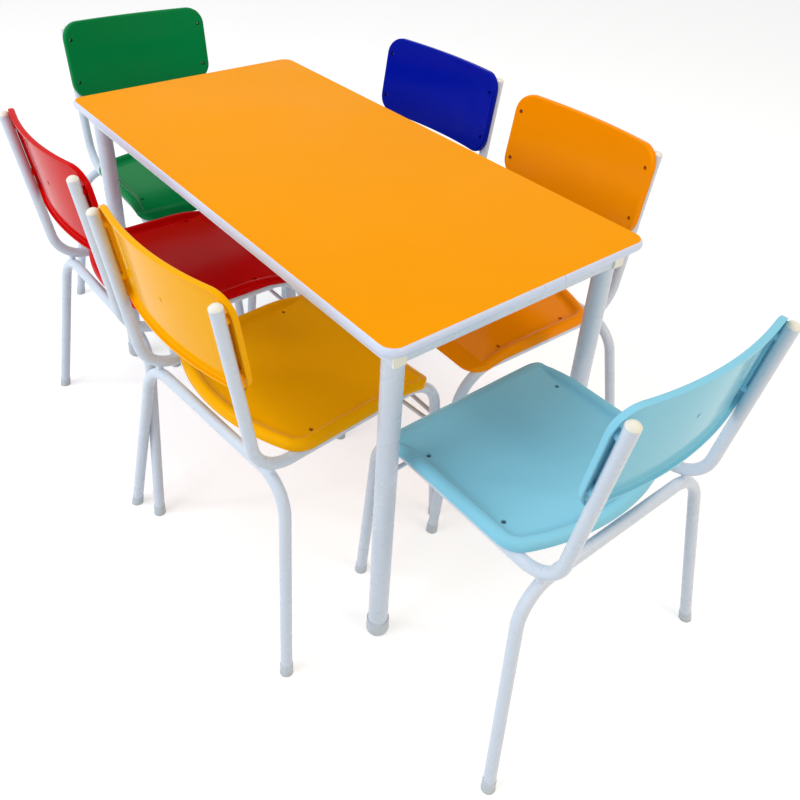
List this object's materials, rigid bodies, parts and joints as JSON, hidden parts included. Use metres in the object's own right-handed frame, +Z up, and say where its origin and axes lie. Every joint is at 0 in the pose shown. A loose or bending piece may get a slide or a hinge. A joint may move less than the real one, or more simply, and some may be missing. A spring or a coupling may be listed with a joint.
{
  "type": "activity table set",
  "caption": "Rectangular activity table on a tube frame with round legs, set with stacking side chairs that have moulded plastic seats and backs on bent tube frames.",
  "frame": {"origin": "on the floor under the middle of the whole set as it stands, table and six chairs", "axes": "+X along the length of the table, +Y across it, +Z up"},
  "size_m": [1.912, 1.0786, 0.8008],
  "materials": {
    "amber_laminate": "semi-gloss plastic laminate",
    "particle_board": "raw particle board",
    "backing_sheet": "matt backing foil",
    "band_white": "glossy edge band",
    "white_tube": "gloss white powder coat",
    "cream_plastic": "satin moulded plastic",
    "foot_plastic": "satin moulded plastic",
    "zinc_steel": "zinc plated",
    "green_shell": "semi-gloss injection moulded plastic",
    "blue_shell": "semi-gloss injection moulded plastic",
    "orange_shell": "semi-gloss injection moulded plastic",
    "red_shell": "semi-gloss injection moulded plastic",
    "yellow_shell": "semi-gloss injection moulded plastic",
    "turquoise_shell": "semi-gloss injection moulded plastic"
  },
  "bodies": {
    "table": {"table_top_laminate": "amber_laminate", "table_top_board": "particle_board", "table_backing_sheet": "backing_sheet", "table_edge_band": "band_white", "table_long_rails": "white_tube", "table_short_rails": "white_tube", "table_legs": "white_tube", "table_leg_shoes": "foot_plastic", "table_rail_caps": "cream_plastic", "table_top_screws": "zinc_steel"},
    "green_chair": {"green_side_frames": "white_tube", "green_rear_hoop": "white_tube", "green_front_brace": "white_tube", "green_seat": "green_shell", "green_backrest": "green_shell", "green_rivets": "zinc_steel", "green_post_caps": "cream_plastic", "green_feet": "foot_plastic"},
    "blue_chair": {"blue_side_frames": "white_tube", "blue_rear_hoop": "white_tube", "blue_front_brace": "white_tube", "blue_seat": "blue_shell", "blue_backrest": "blue_shell", "blue_rivets": "zinc_steel", "blue_post_caps": "cream_plastic", "blue_feet": "foot_plastic"},
    "orange_chair": {"orange_side_frames": "white_tube", "orange_rear_hoop": "white_tube", "orange_front_brace": "white_tube", "orange_seat": "orange_shell", "orange_backrest": "orange_shell", "orange_rivets": "zinc_steel", "orange_post_caps": "cream_plastic", "orange_feet": "foot_plastic"},
    "red_chair": {"red_side_frames": "white_tube", "red_rear_hoop": "white_tube", "red_front_brace": "white_tube", "red_seat": "red_shell", "red_backrest": "red_shell", "red_rivets": "zinc_steel", "red_post_caps": "cream_plastic", "red_feet": "foot_plastic"},
    "yellow_chair": {"yellow_side_frames": "white_tube", "yellow_rear_hoop": "white_tube", "yellow_front_brace": "white_tube", "yellow_seat": "yellow_shell", "yellow_backrest": "yellow_shell", "yellow_rivets": "zinc_steel", "yellow_post_caps": "cream_plastic", "yellow_feet": "foot_plastic"},
    "turquoise_chair": {"turquoise_side_frames": "white_tube", "turquoise_rear_hoop": "white_tube", "turquoise_front_brace": "white_tube", "turquoise_seat": "turquoise_shell", "turquoise_backrest": "turquoise_shell", "turquoise_rivets": "zinc_steel", "turquoise_post_caps": "cream_plastic", "turquoise_feet": "foot_plastic"}
  },
  "joints": [
    {"name": "green_chair_pull_out", "type": "slide", "parent": "table", "child": "green_chair", "axis": [-0.999, 0.0454, 0], "range_m": [0, 0.45]},
    {"name": "blue_chair_pull_out", "type": "slide", "parent": "table", "child": "blue_chair", "axis": [-0.0401, 0.9992, 0], "range_m": [0, 0.12]},
    {"name": "orange_chair_lift", "type": "slide", "parent": "table", "child": "orange_chair", "axis": [-0.0038, -0.127, 0.9919], "range_m": [0, 0.16]},
    {"name": "red_chair_lift", "type": "slide", "parent": "table", "child": "red_chair", "axis": [-0.0004, 0.1271, 0.9919], "range_m": [0, 0.18]},
    {"name": "yellow_chair_pull_out", "type": "slide", "parent": "table", "child": "yellow_chair", "axis": [0.0767, -0.9971, 0], "range_m": [0, 0.18]},
    {"name": "turquoise_chair_pull_out", "type": "slide", "parent": "table", "child": "turquoise_chair", "axis": [1, -0.0017, 0], "range_m": [0, 0.45]}
  ]
}
